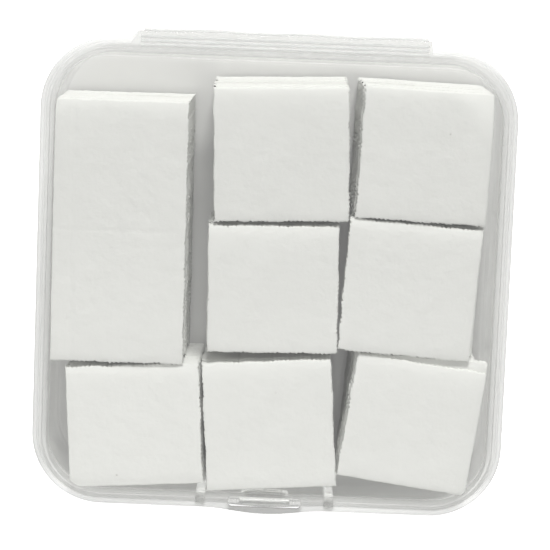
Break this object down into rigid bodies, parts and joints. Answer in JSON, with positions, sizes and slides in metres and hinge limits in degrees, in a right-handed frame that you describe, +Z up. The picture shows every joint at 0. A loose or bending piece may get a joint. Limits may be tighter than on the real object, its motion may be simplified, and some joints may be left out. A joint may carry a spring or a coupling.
{
  "type": "clear hinged wipe case",
  "caption": "Clear square snap case with a living-hinge lid and a front latch tongue, holding stacks of white non-woven nail wipe squares.",
  "frame": {"origin": "centre of the case's flat underside", "axes": "+Z up through the lid, +Y towards the hinge, -Y towards the latch, +X to the right when the latch faces the user"},
  "size_m": [0.1, 0.1029, 0.029],
  "materials": {
    "clear_plastic": "clear polypropylene, slightly hazy, glossy",
    "frosted_plastic": "clear polypropylene with a fine frosted texture",
    "non_woven": "white embossed non-woven, matte"
  },
  "bodies": {
    "base": {"base_tray": "clear_plastic", "hinge_film": "clear_plastic", "left_long_bundle_1": "non_woven", "left_long_bundle_2": "non_woven", "left_long_bundle_3": "non_woven", "left_long_bundle_4": "non_woven", "left_long_bundle_5": "non_woven", "left_long_bundle_6": "non_woven", "back_middle_bundle_1": "non_woven", "back_middle_bundle_2": "non_woven", "back_middle_bundle_3": "non_woven", "back_middle_bundle_4": "non_woven", "back_middle_bundle_5": "non_woven", "back_middle_bundle_6": "non_woven", "back_right_bundle_1": "non_woven", "back_right_bundle_2": "non_woven", "back_right_bundle_3": "non_woven", "back_right_bundle_4": "non_woven", "back_right_bundle_5": "non_woven", "back_right_bundle_6": "non_woven", "centre_bundle_1": "non_woven", "centre_bundle_2": "non_woven", "centre_bundle_3": "non_woven", "centre_bundle_4": "non_woven", "centre_bundle_5": "non_woven", "centre_bundle_6": "non_woven", "middle_right_bundle_1": "non_woven", "middle_right_bundle_2": "non_woven", "middle_right_bundle_3": "non_woven", "middle_right_bundle_4": "non_woven", "middle_right_bundle_5": "non_woven", "middle_right_bundle_6": "non_woven", "front_left_bundle_1": "non_woven", "front_left_bundle_2": "non_woven", "front_left_bundle_3": "non_woven", "front_left_bundle_4": "non_woven", "front_left_bundle_5": "non_woven", "front_left_bundle_6": "non_woven", "front_middle_bundle_1": "non_woven", "front_middle_bundle_2": "non_woven", "front_middle_bundle_3": "non_woven", "front_middle_bundle_4": "non_woven", "front_middle_bundle_5": "non_woven", "front_middle_bundle_6": "non_woven", "front_right_bundle_1": "non_woven", "front_right_bundle_2": "non_woven", "front_right_bundle_3": "non_woven", "front_right_bundle_4": "non_woven", "front_right_bundle_5": "non_woven", "front_right_bundle_6": "non_woven"},
    "lid": {"lid_cover": "clear_plastic"},
    "latch": {"latch_tongue": "frosted_plastic"}
  },
  "joints": [
    {"name": "lid_hinge", "type": "hinge", "parent": "base", "child": "lid", "pos_m": [0, 0.0515, 0.0215], "axis": [-1, 0, 0], "range_deg": [0, 180], "deforming": ["hinge_film"]},
    {"name": "latch_flex", "type": "hinge", "parent": "lid", "child": "latch", "pos_m": [0, -0.04822, 0.0222], "axis": [-1, 0, 0], "range_deg": [0, 8]}
  ]
}
